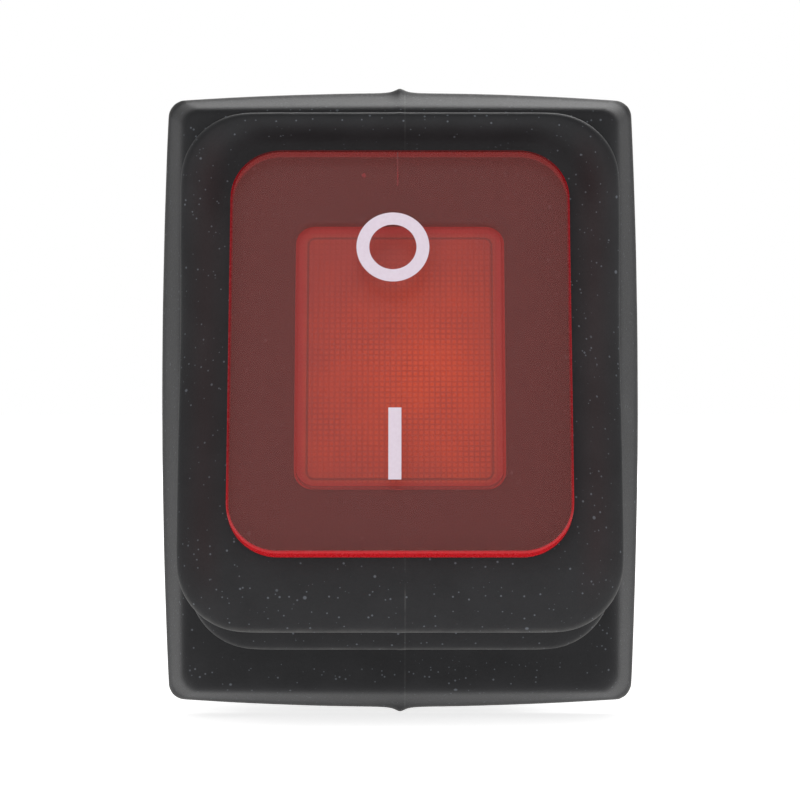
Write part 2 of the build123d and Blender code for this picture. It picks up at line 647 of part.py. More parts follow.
def tab(front):
    """A flat plug-in tab on its side, from this depth to its bevelled end, lying at height zero."""
    half = TAB_WIDTH / 2
    plate = block(POLE_X - half, POLE_X + half, front, TAB_END, -TAB_THICKNESS / 2, TAB_THICKNESS / 2)
    plate = chamfer(plate.edges().filter_by(Axis.Z).group_by(Axis.Y)[-1], TAB_CORNER)
    end = plate.edges().filter_by(Axis.X).group_by(Axis.Y)[-1]
    plate = chamfer(end, TAB_BEVEL)
    wide = SHOULDER_WIDTH / 2
    high = SHOULDER_THICKNESS / 2
    start = BODY_DEPTH + HAIR_GAP
    shoulder = block(POLE_X - wide, POLE_X + wide, start, start + SHOULDER_LENGTH, -high, high)
    plate += chamfer(shoulder.edges().filter_by(Axis.X).group_by(Axis.Y)[-1], high / 2)
    hole = Pos(POLE_X, TAB_END - TAB_HOLE_FROM_END, 0) * Cylinder(TAB_HOLE_RADIUS, 2 * TAB_THICKNESS)
    return plate - hole


def common_terminal():
    """The right middle-row terminal: its front is the knife edge and the ears that hold the blade."""
    edge = BLADE_PIVOT + HAIR_GAP
    plate = tab(edge - KNIFE_ROOT)
    notch = BLADE_WIDTH / 2 + EAR_GAP
    half = TAB_THICKNESS / 2
    shoulder = edge + KNIFE_DEPTH
    plate -= block(POLE_X - notch, POLE_X + notch, edge - 2 * KNIFE_ROOT, shoulder, -1, 1)
    root = shoulder + HAIR_GAP
    wedge = [(edge, 0), (shoulder, half), (root, half), (root, -half), (shoulder, -half)]
    return plate + Pos(POLE_X, 0, 0) * side_profile(wedge, 2 * notch)


def load_terminal():
    """The right bottom-row terminal: its arm hooks up in front of the blade and carries the fixed contact."""
    plate = Pos(0, 0, LOAD_ROW) * tab(ARM_FRONT)
    foot = LOAD_ROW - TAB_THICKNESS / 2
    plate += block(EAR_REACH, POLE_X + TAB_WIDTH / 2, ARM_FRONT, ARM_FRONT + TAB_THICKNESS, foot, ARM_TOP)
    height = fixed_contact_face()[1]
    hole = RIVET_RADIUS * TAIL_SHARE + HAIR_GAP
    return plate - bar(hole, POLE_X, height, ARM_FRONT - 1, ARM_FRONT + TAB_THICKNESS + 1)


def fixed_contact():
    """The right fixed contact: a flat rivet in the load terminal's arm."""
    face, height = fixed_contact_face()
    rear = ARM_FRONT + TAB_THICKNESS
    rivet = bar(RIVET_RADIUS, POLE_X, height, rear, face)
    return rivet + bar(RIVET_RADIUS * TAIL_SHARE, POLE_X, height, ARM_FRONT, rear + HAIR_GAP)


def write(name, shape):
    export_step(shape, f"parts/{name}.step")


os.makedirs("parts", exist_ok=True)
write("housing", housing())
write("boot", boot())
write("rocker_cap", rocker_cap())
write("rocker_body", rocker_body())
write("lamp_glass", lamp_glass())
write("lamp_electrode_left", lamp_electrode_left())
write("lamp_electrode_right", lamp_electrode_right())
write("lamp_resistor", lamp_resistor())
pole_pieces = {
    "plunger": at_rest(plunger()),
    "plunger_spring": at_rest(plunger_spring()),
    "contact_blade": open_blade(contact_blade()),
    "moving_contact": open_blade(moving_contact()),
    "common_terminal": common_terminal(),
    "load_terminal": load_terminal(),
    "fixed_contact": fixed_contact(),
}
for name, shape in pole_pieces.items():
    write(f"{name}_right", shape)
    write(f"{name}_left", mirror(shape, about=Plane.YZ))
write("lamp_spring_left", lamp_spring(-1))
write("lamp_spring_right", lamp_spring(1))
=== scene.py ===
from math import cos, exp, pi, radians, sin

import bmesh
import bpy
import numpy as np
from mathutils import Matrix, Vector


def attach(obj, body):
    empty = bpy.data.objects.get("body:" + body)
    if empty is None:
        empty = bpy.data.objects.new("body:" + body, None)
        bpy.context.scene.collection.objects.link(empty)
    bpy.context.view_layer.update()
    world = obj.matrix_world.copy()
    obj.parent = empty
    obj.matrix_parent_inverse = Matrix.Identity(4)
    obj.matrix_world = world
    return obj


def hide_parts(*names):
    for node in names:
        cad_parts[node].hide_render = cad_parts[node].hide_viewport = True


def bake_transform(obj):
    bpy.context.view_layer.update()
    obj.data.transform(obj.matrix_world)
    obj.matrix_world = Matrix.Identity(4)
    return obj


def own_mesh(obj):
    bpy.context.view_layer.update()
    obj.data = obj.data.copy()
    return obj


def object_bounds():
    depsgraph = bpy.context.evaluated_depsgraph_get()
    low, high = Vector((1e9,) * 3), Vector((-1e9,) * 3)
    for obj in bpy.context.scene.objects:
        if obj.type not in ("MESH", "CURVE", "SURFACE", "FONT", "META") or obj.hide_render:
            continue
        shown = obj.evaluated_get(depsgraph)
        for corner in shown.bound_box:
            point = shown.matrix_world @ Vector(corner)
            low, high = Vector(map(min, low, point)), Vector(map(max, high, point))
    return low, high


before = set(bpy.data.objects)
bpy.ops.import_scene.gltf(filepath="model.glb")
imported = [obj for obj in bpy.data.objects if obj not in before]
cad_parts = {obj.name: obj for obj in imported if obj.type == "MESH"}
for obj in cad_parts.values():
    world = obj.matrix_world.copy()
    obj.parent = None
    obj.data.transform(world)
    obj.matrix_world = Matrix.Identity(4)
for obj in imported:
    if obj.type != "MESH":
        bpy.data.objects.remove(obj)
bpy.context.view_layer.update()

# Rubber boot.
# One moulding of soft black rubber: a skirt stretched over the housing's flange, two bellows folds
# and a collar held under the clear plate. It is made in rings, from the sealing lip behind the
# flange to the window and back along the inside, and each ring turns its own share of the tilt.

MM = 0.001
TILT = 16.5
LONG_STEPS = 16
SHORT_PLACES = (-1, -0.8, -0.6, -0.4, -0.2, -0.07, -0.025, 0, 0.025, 0.07, 0.2, 0.4, 0.6, 0.8)
CORNER_STEPS = 7
NUB_REACH, SEAM_REACH, SEAM_HEIGHT = 0.32, 0.12, 0.035
ROLL_START, ROLL_REACH = 9.5, 5.5
SAG_REACH = 5.5
RAGS = ((1.0, 2.7, 0.0), (0.6, 5.3, 1.1), (0.5, 11.9, 0.4))
SMOOTH_LEVELS = 2


def boot_ring(
    forward, half_width, half_height, corner, share, bow=(0, 0), nub=0, wave=0, lift=0, roll=0, sag=(0, 0)
):
    """Points of one ring in millimetres, turned to the rest position, with X right and Z up."""
    a, b, r = half_width, half_height, corner
    flat_x, flat_z = a - r, b - r
    points = []
    for quarter in range(4):
        top_or_bottom = quarter % 2 == 1
        places = SHORT_PLACES if top_or_bottom else [-1 + 2 * k / LONG_STEPS for k in range(LONG_STEPS)]
        flat, reach = (flat_x, b) if top_or_bottom else (flat_z, a)
        swell = bow[1] if top_or_bottom else bow[0]
        ring_side = []
        for place in places:
            from_middle = place * flat
            out = reach + swell * (1 - place * place)
            if top_or_bottom:
                nub_rise = nub * exp(-((from_middle / NUB_REACH) ** 2))
                seam_rise = SEAM_HEIGHT * exp(-((from_middle / SEAM_REACH) ** 2))
                out += nub_rise + seam_rise
            ring_side.append((from_middle, out))
        for step in range(CORNER_STEPS):
            turn = pi / 2 * step / CORNER_STEPS
            ring_side.append((flat + r * sin(turn), reach - r + r * cos(turn)))
        for along, out in ring_side:
            x, z = {0: (out, along), 1: (-along, out), 2: (-out, -along), 3: (along, -out)}[quarter]
            points.append((x, z + lift))
    turned = []
    for k, (x, z) in enumerate(points):
        ragged = wave * sum(size * sin(rate * k + start) for size, rate, start in RAGS)
        y = -(forward + ragged)
        angle = radians(-TILT * share)
        high = y * sin(angle) + z * cos(angle)
        upper = min(max((high - ROLL_START) / ROLL_REACH, 0), 1)
        sagging = sag[0] * exp(-(((high - sag[1]) / SAG_REACH) ** 2))
        rolling = roll * upper * upper * (3 - 2 * upper)
        turned.append((x, y * cos(angle) - z * sin(angle) + (sagging - rolling), high))
    return turned


# forward of the panel, half width, half height, corner radius, share of the tilt, paleness, and extras
rings = [
    (0.05, 10.87, 12.82, 0.7, 0, 0.0, {}),
    (0.0, 11.1, 13.1, 0.8, 0, 0.1, {}),
    (0.0, 12.6, 16.0, 1.0, 0, 0.0, {}),
    (-0.05, 13.7, 17.9, 1.0, 0, 0.1, {"bow": (0.2, 0.3)}),
    (-0.3, 14.15, 18.4, 1.0, 0, 0.4, {"bow": (0.35, 0.4), "nub": 0.1, "wave": 0.04}),
    (-0.48, 14.4, 18.68, 1.0, 0, 1.0, {"bow": (0.4, 0.45), "nub": 0.3, "wave": 0.11}),
    (-0.36, 14.5, 18.75, 1.1, 0, 1.0, {"bow": (0.4, 0.45), "nub": 0.35, "wave": 0.05}),
    (0.15, 14.3, 18.55, 1.2, 0, 0.4, {"bow": (0.38, 0.42), "nub": 0.3, "wave": 0.02}),
    (0.7, 14.15, 18.42, 1.2, 0, 0.15, {"bow": (0.34, 0.36), "nub": 0.1}),
    (2.5, 13.8, 18.15, 1.2, 0, 0.1, {"bow": (0.2, 0.2)}),
    (4.1, 13.48, 17.92, 1.2, 0, 0.12, {"bow": (0.1, 0.1)}),
    (4.75, 13.28, 17.74, 1.2, 0, 0.3, {"bow": (0.05, 0.05)}),
    (5.08, 12.95, 17.4, 1.15, 0, 0.3, {}),
    (5.17, 12.4, 16.8, 1.1, 0, 0.1, {}),
    (5.2, 11.7, 15.3, 1.6, 0.03, 0.0, {}),
    (5.32, 10.9, 14.1, 2.4, 0.08, 0.0, {}),
    (5.5, 10.7, 13.75, 2.6, 0.13, 0.0, {"lift": 0.1, "sag": (0.1, 0)}),
    (5.8, 11.1, 14.1, 2.9, 0.17, 0.0, {"lift": 0.15, "sag": (0.25, 0)}),
    (6.4, 12.1, 15.2, 3.6, 0.24, 0.05, {"lift": 0.25, "sag": (0.5, -1)}),
    (6.8, 12.6, 15.82, 4.0, 0.28, 0.25, {"lift": 0.3, "sag": (0.75, -1)}),
    (7.15, 12.74, 15.98, 4.1, 0.31, 0.7, {"lift": 0.32, "sag": (0.85, -1)}),
    (7.45, 12.58, 15.75, 4.0, 0.34, 0.3, {"lift": 0.32, "sag": (0.9, -1)}),
    (7.8, 11.5, 14.6, 3.4, 0.41, 0.0, {"lift": 0.3, "sag": (0.95, 1)}),
    (8.0, 10.5, 13.5, 2.8, 0.46, 0.0, {"lift": 0.2, "sag": (1.0, 2)}),
    (8.15, 10.3, 13.2, 2.7, 0.49, 0.0, {"lift": 0.15, "sag": (1.05, 3)}),
    (8.4, 10.7, 13.5, 2.9, 0.52, 0.0, {"lift": 0.1, "sag": (1.15, 4)}),
    (9.05, 12.1, 14.9, 3.7, 0.59, 0.0, {"lift": 0.05, "sag": (1.3, 4)}),
    (9.45, 13.0, 15.55, 4.0, 0.62, 0.25, {"sag": (1.35, 4)}),
    (9.8, 13.22, 15.76, 4.1, 0.65, 0.75, {"roll": 0.2, "sag": (1.35, 4)}),
    (10.12, 13.1, 15.6, 4.1, 0.69, 0.4, {"roll": 0.8, "sag": (1.25, 4)}),
    (10.38, 12.6, 15.0, 4.0, 0.76, 0.1, {"roll": 1.15, "sag": (1.0, 3.5)}),
    (10.6, 11.7, 14.0, 3.8, 0.88, 0.0, {"roll": 0.85, "sag": (0.5, 3)}),
    (10.75, 10.8, 13.0, 3.5, 1, 0.0, {"roll": 0.1}),
    (11.0, 9.4, 11.6, 2.4, 1, 0.0, {}),
    (11.045, 8.1, 10.3, 1.5, 1, 0.0, {}),
    (11.045, 6.5, 8.5, 1.2, 1, 0.0, {"lift": -0.4}),
    (10.95, 6.25, 8.25, 1.15, 1, 0.0, {"lift": -0.4}),
    (10.5, 6.22, 8.22, 1.15, 1, 0.0, {"lift": -0.4}),
    (9.9, 6.25, 8.25, 1.15, 1, 0.0, {"lift": -0.4}),
    (9.84, 6.6, 8.45, 1.1, 1, 0.0, {"lift": -0.3}),
    (9.84, 9.0, 9.3, 1.0, 1, 0.0, {}),
    (9.84, 10.0, 11.5, 2.4, 0.93, 0.0, {}),
    (9.75, 11.3, 13.4, 3.0, 0.74, 0.0, {"sag": (0.8, 3.5)}),
    (9.45, 11.95, 14.5, 3.4, 0.64, 0.0, {"sag": (1.25, 4)}),
    (9.1, 11.5, 14.0, 3.2, 0.6, 0.0, {"sag": (1.3, 4)}),
    (8.2, 9.7, 12.1, 2.4, 0.5, 0.0, {"sag": (1.1, 3)}),
    (7.8, 9.9, 12.3, 2.4, 0.45, 0.0, {"sag": (1.0, 2)}),
    (7.15, 11.5, 14.5, 3.3, 0.32, 0.0, {"lift": 0.2, "sag": (0.85, -1)}),
    (6.85, 11.55, 14.6, 3.3, 0.28, 0.0, {"lift": 0.2, "sag": (0.75, -1)}),
    (5.9, 10.5, 13.0, 2.4, 0.18, 0.0, {"sag": (0.3, 0)}),
    (5.3, 10.0, 12.2, 2.2, 0.1, 0.0, {}),
    (4.75, 10.2, 12.6, 2.0, 0.05, 0.0, {}),
    (4.35, 12.2, 16.5, 1.1, 0, 0.0, {}),
    (4.2, 12.55, 17.0, 1.1, 0, 0.0, {}),
    (0.75, 13.15, 17.45, 1.1, 0, 0.0, {}),
    (0.62, 12.9, 17.0, 1.1, 0, 0.0, {}),
    (0.6, 10.95, 12.9, 0.7, 0, 0.0, {}),
]

# the red light of the plate on the rings beside it, by their place forward of the panel
RED_LIGHT = {10.38: 0.3, 10.6: 1.0, 10.75: 1.0}

cage = [boot_ring(*ring[:5], **ring[6]) for ring in rings]
around = len(cage[0])
vertices = [Vector(p) * MM for ring in cage for p in ring]
faces = []
for i in range(len(cage)):
    for k in range(around):
        here, there = i * around, (i + 1) % len(cage) * around
        faces.append((here + k, here + (k + 1) % around, there + (k + 1) % around, there + k))
mesh = bpy.data.meshes.new("boot_cage")
mesh.from_pydata(vertices, [], faces)
by_ring = {
    "share": [ring[4] for ring in rings],
    "pale": [ring[5] for ring in rings],
    "red_light": [RED_LIGHT.get(ring[0], 0.0) for ring in rings],
}
for name, values in by_ring.items():
    attribute = mesh.attributes.new(name, "FLOAT", "POINT")
    attribute.data.foreach_set("value", np.repeat([float(value) for value in values], around))
rubber_boot = bpy.data.objects.new("rubber_boot", mesh)
bpy.context.collection.objects.link(rubber_boot)


def turn_outwards(piece):
    """Makes a closed shell's faces point out."""
    shell = bmesh.new()
    shell.from_mesh(piece.data)
    bmesh.ops.recalc_face_normals(shell, faces=shell.faces)
    shell.to_mesh(piece.data)
    shell.free()


turn_outwards(rubber_boot)
smoothing = rubber_boot.modifiers.new("moulded", "SUBSURF")
smoothing.levels = smoothing.render_levels = SMOOTH_LEVELS


def settle(piece):
    """Applies a piece's modifiers, so that it is a plain mesh with smooth shading."""
    seen = piece.evaluated_get(bpy.context.evaluated_depsgraph_get())
    plain = bpy.data.meshes.new_from_object(seen)
    piece.modifiers.clear()
    piece.data = plain
    for face in plain.polygons:
        face.use_smooth = True


settle(rubber_boot)


def put(tree, kind, inputs=None, **settings):
    """One node with its settings, each input given a value or joined to another node's output."""
    made = tree.nodes.new(kind)
    for name, value in settings.items():
        setattr(made, name, value)
    for socket, value in (inputs or {}).items():
        if isinstance(value, bpy.types.NodeSocket):
            tree.links.new(value, made.inputs[socket])
        else:
            made.inputs[socket].default_value = value
    return made


def reckon(tree, operation, *values, clamp=False):
    """A sum on numbers or outputs."""
    return put(tree, "ShaderNodeMath", dict(enumerate(values)), operation=operation, use_clamp=clamp).outputs[0]


def times(tree, *values, clamp=False):
    """The product of two numbers or outputs."""
    return reckon(tree, "MULTIPLY", *values, clamp=clamp)


def off(tree, value, middle):
    """How far a number is from a middle value, on either side."""
    return reckon(tree, "ABSOLUTE", reckon(tree, "SUBTRACT", value, middle))


def far(tree, a, b):
    """The distance that two steps at right angles make together."""
    squares = [reckon(tree, "POWER", step, 2.0) for step in (a, b)]
    return reckon(tree, "SQRT", reckon(tree, "ADD", *squares))


def rise(tree, value, start, end):
    """Goes from 0 at one value to 1 at another, and stays there."""
    return put(tree, "ShaderNodeMapRange", {0: value, 1: start, 2: end}, clamp=True).outputs[0]


def between(tree, share, low, high):
    """Passes from one number or colour to another as the share goes from 0 to 1."""
    if isinstance(low, tuple):
        mix = put(tree, "ShaderNodeMix", {0: share}, data_type="RGBA", clamp_factor=True)
        for socket, value in ((6, low), (7, high)):
            mix.inputs[socket].default_value = (*value, 1)
        return mix.outputs[2]
    mix = put(tree, "ShaderNodeMix", {0: share, 2: low, 3: high}, data_type="FLOAT", clamp_factor=True)
    return mix.outputs[0]


def cover(tree, share, below, colour):
    """Lays a colour, or a pattern of colours, over another one where the share is high."""
    above = colour if isinstance(colour, bpy.types.NodeSocket) else (*colour, 1)
    mix = put(tree, "ShaderNodeMix", {0: share, 6: below, 7: above}, data_type="RGBA", clamp_factor=True)
    return mix.outputs[2]


def lead_to(tree, output, surface, name):
    """Joins a pattern to one of the surface's sockets."""
    tree.links.new(output, surface.inputs[name])


def new_finish(name):
    """An empty finish: its tree, its surface shader and the object's own coordinates in metres."""
    material = bpy.data.materials.new(name)
    material.use_nodes = True
    tree = material.node_tree
    surface = tree.nodes["Principled BSDF"]
    place = put(tree, "ShaderNodeTexCoord").outputs["Object"]
    return material, tree, surface, place


def mottle(tree, place, size, detail=3.0, rough=0.55):
    """Uneven tone, with patches about this many millimetres wide."""
    sizes = {"Vector": place, "Scale": 1 / (size * MM), "Detail": detail, "Roughness": rough}
    return put(tree, "ShaderNodeTexNoise", sizes).outputs["Fac"]


def specks(tree, place, spacing, radius, share):
    """Sparse round specks of dust: 1 on a speck and 0 elsewhere."""
    cells = put(tree, "ShaderNodeTexVoronoi", {"Vector": place, "Scale": 1 / (spacing * MM), "Randomness": 1.0})
    hue = put(tree, "ShaderNodeSeparateColor", {0: cells.outputs["Color"]})
    size = times(tree, hue.outputs[1], radius / spacing)
    on_speck = reckon(tree, "SUBTRACT", size, cells.outputs["Distance"])
    soft = times(tree, on_speck, 3 * spacing / radius, clamp=True)
    return times(tree, soft, reckon(tree, "LESS_THAN", hue.outputs[0], share))


def dusty(tree, place, coarse, fine):
    """Two sizes of dust specks together, each with its spacing, radius and share."""
    return reckon(tree, "MAXIMUM", specks(tree, place, *coarse), specks(tree, place, *fine))


def grain(tree, surface, height, depth, strength=1.0, rounding=0.0):
    """Raises the surface by a pattern, this many millimetres deep, with the moulded rounding of its edges."""
    bump = put(tree, "ShaderNodeBump", {"Height": height, "Distance": depth * MM, "Strength": strength})
    if rounding:
        soft_edge = put(tree, "ShaderNodeBevel", {"Radius": rounding * MM}, samples=6)
        tree.links.new(soft_edge.outputs[0], bump.inputs["Normal"])
    tree.links.new(bump.outputs["Normal"], surface.inputs["Normal"])


def black_rubber():
    """Matt rubber with fine grain and dust, a pale ragged rim, pale folds and red light by the plate."""
    darkest, black = (0.0095, 0.0095, 0.0105), (0.0215, 0.0215, 0.0235)
    pale_patch_grey, rag_grey, seam_grey = (0.1, 0.098, 0.092), (0.24, 0.235, 0.22), (0.075, 0.075, 0.075)
    dust_grey, plate_light = (0.16, 0.175, 0.2), (0.07, 0.003, 0.003)
    seam_place, seam_half = 0.3 * MM, 0.05 * MM
    material, tree, surface, place = new_finish("black_rubber")
    fine = mottle(tree, place, 0.16, 4.0, 0.65)
    tone = between(tree, mottle(tree, place, 2.5), darkest, black)
    pale = put(tree, "ShaderNodeAttribute", attribute_name="pale").outputs["Fac"]
    patchy = rise(tree, mottle(tree, place, 1.1, 5.0, 0.7), 0.38, 0.62)
    # Paler grey in patches on the rings with high paleness: the ragged rim and the two fold crests.
    pale_patches = times(tree, rise(tree, pale, 0.45, 1.0), between(tree, patchy, 0.25, 1.0), clamp=True)
    tone = cover(tree, times(tree, pale_patches, 0.9), tone, pale_patch_grey)
    torn = rise(tree, mottle(tree, place, 0.35, 4.0, 0.7), 0.45, 0.6)
    rag = times(tree, torn, rise(tree, pale, 0.8, 1.0))
    tone = cover(tree, times(tree, rag, 0.9), tone, rag_grey)
    across = put(tree, "ShaderNodeSeparateXYZ", {0: place}).outputs[0]
    seam = reckon(tree, "LESS_THAN", off(tree, across, seam_place), seam_half)
    seam = times(tree, seam, between(tree, mottle(tree, place, 1.2), -0.6, 1.3), clamp=True)
    tone = cover(tree, times(tree, seam, 0.6), tone, seam_grey)
    dust = dusty(tree, place, (0.8, 0.15, 0.3), (0.34, 0.08, 0.9))
    tone = cover(tree, times(tree, dust, 0.5), tone, dust_grey)
    near = put(tree, "ShaderNodeAttribute", attribute_name="red_light").outputs["Fac"]
    at_side = rise(tree, reckon(tree, "ABSOLUTE", across), 10.2 * MM, 11.4 * MM)
    tone = cover(tree, times(tree, near, between(tree, at_side, 0.0, 0.1)), tone, plate_light)
    lead_to(tree, tone, surface, "Base Color")
    lead_to(tree, between(tree, fine, 0.5, 0.75), surface, "Roughness")
    surface.inputs["Specular IOR Level"].default_value = 0.22
    surface.inputs["Sheen Weight"].default_value = 0.05
    surface.inputs["Sheen Roughness"].default_value = 0.5
    grain(tree, surface, fine, 0.03, 0.6)
    return material


rubber_boot.data.materials.append(black_rubber())
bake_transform(rubber_boot)
shares = np.zeros(len(rubber_boot.data.vertices), np.float32)
rubber_boot.data.attributes["share"].data.foreach_get("value", shares)
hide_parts("boot")

# Clear red plate.
# The plate under the finger: a flat moulding of clear red plastic, with a pad behind it that passes
# through the boot's window and is welded to the rocker. Its edge has a painted glow, and its face is hazy.

PLATE_DROP = 0.4
PLATE_HALF_WIDTH, PLATE_HALF_HEIGHT, PLATE_CORNER = 10.1, 12.4, 3.0


def level(tree, place):
    """The coordinates of a piece of the rocker, turned back to level and in millimetres."""
    turning = {"Vector": place, "Rotation": (radians(TILT), 0, 0), "Scale": (1 / MM,) * 3}
    turned = put(tree, "ShaderNodeMapping", turning)
    return put(tree, "ShaderNodeSeparateXYZ", {0: turned.outputs[0]}).outputs


def rim_distance(tree, x, z, half_width, half_height, corner):
    """How far a point is outside a rectangle with round corners, in millimetres, less than 0 inside."""
    off_x = reckon(tree, "SUBTRACT", reckon(tree, "ABSOLUTE", x), half_width - corner)
    off_z = reckon(tree, "SUBTRACT", reckon(tree, "ABSOLUTE", z), half_height - corner)
    outside = far(tree, reckon(tree, "MAXIMUM", off_x, 0.0), reckon(tree, "MAXIMUM", off_z, 0.0))
    inside = reckon(tree, "MINIMUM", reckon(tree, "MAXIMUM", off_x, off_z), 0.0)
    return reckon(tree, "SUBTRACT", reckon(tree, "ADD", outside, inside), corner)


def clear_red():
    """Clear red plastic: hazy dull red on the face, and full red at the edge, with a painted glow at the foot
    and on the outer wall, and painted shade at the head.
    """
    dull, hazy, blotched = (0.19, 0.03, 0.025), (0.25, 0.046, 0.04), (0.26, 0.03, 0.024)
    edge_red, painted_foot_glow, painted_head_shade = (0.2, 0.002, 0.006), (0.42, 0.005, 0.01), (0.08, 0.012, 0.012)
    dark, wall_light = (0.0, 0.0, 0.0), (0.26, 0.0, 0.002)
    scratch_x, scratch_half, scratch_foot = -0.14, 0.045, 9.7
    dot_x, dot_z, dot_area = -2.15, 10.36, 0.022
    face_start = -12.05
    material, tree, surface, place = new_finish("clear_red_plastic")
    x, y, z = level(tree, place)
    z_plate = reckon(tree, "ADD", z, PLATE_DROP)
    rim = rim_distance(tree, x, z_plate, PLATE_HALF_WIDTH, PLATE_HALF_HEIGHT, PLATE_CORNER)
    on_edge = rise(tree, rim, -0.17, -0.1)
    haze = mottle(tree, place, 0.5, 5.0, 0.7)
    tone = between(tree, haze, dull, hazy)
    tone = cover(tree, times(tree, mottle(tree, place, 3.0, 2.0), 0.35), tone, blotched)
    scratch = reckon(tree, "LESS_THAN", off(tree, x, scratch_x), scratch_half)
    scratch = times(tree, scratch, reckon(tree, "GREATER_THAN", z, scratch_foot))
    from_dot_x = reckon(tree, "POWER", reckon(tree, "SUBTRACT", x, dot_x), 2.0)
    from_dot_z = reckon(tree, "POWER", reckon(tree, "SUBTRACT", z, dot_z), 2.0)
    dot = reckon(tree, "LESS_THAN", reckon(tree, "ADD", from_dot_x, from_dot_z), dot_area)
    in_front = reckon(tree, "LESS_THAN", y, face_start)
    mark = times(tree, reckon(tree, "MAXIMUM", scratch, dot), in_front)
    # Painted light on the edge: brighter red towards the foot, a painted glow, and darker at the head, painted
    # shade.
    foot, head = rise(tree, z_plate, -6.0, -11.5), rise(tree, z_plate, 11.0, 12.2)
    edge_tone = cover(tree, head, between(tree, foot, edge_red, painted_foot_glow), painted_head_shade)
    share = reckon(tree, "MAXIMUM", on_edge, times(tree, mark, 0.75))
    lead_to(tree, cover(tree, share, tone, edge_tone), surface, "Base Color")
    # Painted glow: the outermost wall of the edge is given red emission.
    lead_to(tree, between(tree, rise(tree, rim, -0.06, -0.02), dark, wall_light), surface, "Emission Color")
    lead_to(tree, between(tree, share, 0.34, 0.94), surface, "Alpha")
    lead_to(tree, between(tree, haze, 0.2, 0.34), surface, "Roughness")
    surface.inputs["Emission Strength"].default_value = 0.5
    surface.inputs["IOR"].default_value = 1.49
    surface.inputs["Specular IOR Level"].default_value = 0.34
    grain(tree, surface, mottle(tree, place, 0.25, 3.0), 0.003, 0.15, rounding=0.12)
    return material


def refinish(node, material):
    """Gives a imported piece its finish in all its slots."""
    piece = bpy.data.objects[node]
    piece.data.materials.clear()
    piece.data.materials.append(material)


refinish("rocker_cap", clear_red())

# Printed marks.
# A ring on the O end and a bar on the I end, printed in white ink on the plate's face. They are
# flat shapes with a little thickness, like the dried ink.

PLATE_FACE = 12.2
PRINT = 0.02
RING_OUTSIDE, RING_STROKE = 2.16, 0.76
BAR_WIDTH, BAR_HEIGHT = 0.76, 4.35
RING_PLACE, BAR_PLACE = (-0.42, 5.85), (-0.3, -6.25)
AROUND = 96


def on_the_plate(points, faces, name):
    """A flat printed shape: points on the level plate's face, each lifted by its share of the print."""
    turn = Matrix.Rotation(radians(-TILT), 4, "X")
    made = bpy.data.meshes.new(name)
    placed = [turn @ (Vector((x, -PLATE_FACE - lift * PRINT, z)) * MM) for x, lift, z in points]
    made.from_pydata(placed, [], faces)
    piece = bpy.data.objects.new(name, made)
    bpy.context.collection.objects.link(piece)
    turn_outwards(piece)
    return piece


def ring_mark(x, z):
    """The O: a flat ring with a thin wall all round."""
    inside = RING_OUTSIDE - RING_STROKE
    points, faces = [], []
    for radius, lift in ((RING_OUTSIDE, 0), (RING_OUTSIDE, 1), (inside, 1), (inside, 0)):
        for k in range(AROUND):
            turn = 2 * pi * k / AROUND
            points.append((x + radius * cos(turn), lift, z + radius * sin(turn)))
    for band in range(4):
        for k in range(AROUND):
            here, there, after = band * AROUND, (band + 1) % 4 * AROUND, (k + 1) % AROUND
            faces.append((here + k, here + after, there + after, there + k))
    return on_the_plate(points, faces, "mark_o")


def bar_mark(x, z):
    """The I: an upright bar."""
    corners = ((-1, -1), (1, -1), (1, 1), (-1, 1))
    points = [(x + i * BAR_WIDTH / 2, lift, z + j * BAR_HEIGHT / 2) for lift in (0, 1) for i, j in corners]
    faces = [(0, 1, 2, 3), (4, 5, 6, 7)] + [(k, (k + 1) % 4, (k + 1) % 4 + 4, k + 4) for k in range(4)]
    return on_the_plate(points, faces, "mark_i")


def white_print():
    """Pinkish white ink, a little thin in places."""
    thin_white, full_white = (0.66, 0.55, 0.64), (0.76, 0.67, 0.76)
    material, tree, surface, place = new_finish("white_print")
    thin = mottle(tree, place, 0.2, 4.0)
    lead_to(tree, between(tree, thin, thin_white, full_white), surface, "Base Color")
    lead_to(tree, between(tree, thin, 0.4, 0.55), surface, "Roughness")
    grain(tree, surface, thin, 0.003, 0.5)
    return material


ink = white_print()
for mark in (ring_mark(*RING_PLACE), bar_mark(*BAR_PLACE)):
    mark.data.materials.append(ink)
    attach(mark, "rocker")

# Rocker.
# The rocker behind the plate: one moulding of milky orange-red plastic with the lamp's chamber,
# the pivot pins and the two plunger tubes. Its window face has a fine ribbed grid that spreads light,
# and a painted orange shine.

GRID_PITCH = 0.33
# The middle of the painted pool of light on the window face, in millimetres.
GLOW_X, GLOW_Z = 1.6, -2.2
WINDOW_HALF_WIDTH, WINDOW_HALF_HEIGHT, WINDOW_CORNER = 6.1, 8.1, 1.1
LINE_INSET, LINE_HALF = 0.62, 0.07
PIN_START = 8.9


